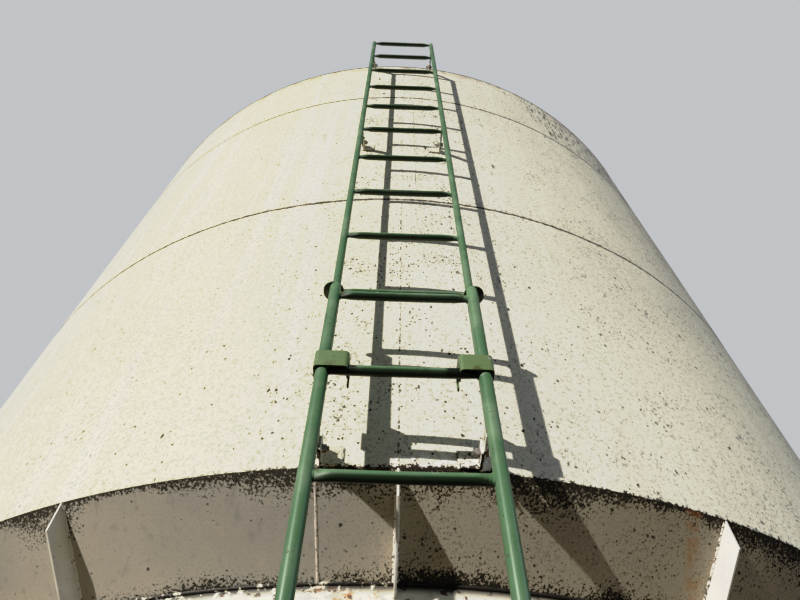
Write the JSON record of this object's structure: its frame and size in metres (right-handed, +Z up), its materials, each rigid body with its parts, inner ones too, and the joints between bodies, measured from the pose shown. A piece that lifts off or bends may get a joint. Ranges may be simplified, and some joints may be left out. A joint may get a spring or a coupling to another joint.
{
  "type": "hopper bottom grain bin",
  "caption": "Round welded steel grain bin on a cone hopper with ribs, legs and a ground ring, a cone roof with a fill lid, and a two-part tube ladder up its front.",
  "frame": {"origin": "at ground level, in the middle of the footprint of the bin with its ladder, so the bin's round axis stands 111.4 mm behind it on the +Y side", "axes": "+Z up along the bin's axis, -Y towards the ladder side, +X to the right when facing the ladder"},
  "size_m": [4.5664, 4.7892, 7.8002],
  "materials": {
    "cream_paint": "weathered cream paint with specks of dirt",
    "hopper_paint": "weathered cream paint, dirtier under the wall",
    "green_paint": "worn green paint",
    "galvanised": "dull galvanised steel"
  },
  "bodies": {
    "root": {"wall_lower_course_left": "cream_paint", "wall_lower_course_right": "cream_paint", "wall_middle_course_left": "cream_paint", "wall_middle_course_right": "cream_paint", "wall_upper_course_left": "cream_paint", "wall_upper_course_right": "cream_paint", "roof_left": "cream_paint", "roof_right": "cream_paint", "fill_neck": "cream_paint", "fill_lid": "cream_paint", "hopper_cone_left": "hopper_paint", "hopper_cone_right": "hopper_paint", "hopper_rib_01": "hopper_paint", "hopper_rib_02": "hopper_paint", "hopper_rib_03": "hopper_paint", "hopper_rib_04": "hopper_paint", "hopper_rib_05": "hopper_paint", "hopper_rib_06": "hopper_paint", "hopper_rib_07": "hopper_paint", "hopper_rib_08": "hopper_paint", "hopper_rib_09": "hopper_paint", "hopper_rib_10": "hopper_paint", "hopper_rib_11": "hopper_paint", "hopper_rib_12": "hopper_paint", "hopper_rib_13": "hopper_paint", "hopper_rib_14": "hopper_paint", "hopper_rib_15": "hopper_paint", "hopper_rib_16": "hopper_paint", "hopper_ring": "hopper_paint", "leg_1": "hopper_paint", "leg_2": "hopper_paint", "leg_3": "hopper_paint", "leg_4": "hopper_paint", "leg_5": "hopper_paint", "leg_6": "hopper_paint", "leg_7": "hopper_paint", "leg_8": "hopper_paint", "base_ring": "hopper_paint", "outlet_spout": "galvanised", "outlet_gate_frame": "galvanised", "outlet_gate_blade": "galvanised", "upper_ladder": "green_paint", "lower_ladder": "green_paint", "ladder_hook_left": "green_paint", "ladder_hook_right": "green_paint"}
  },
  "joints": []
}
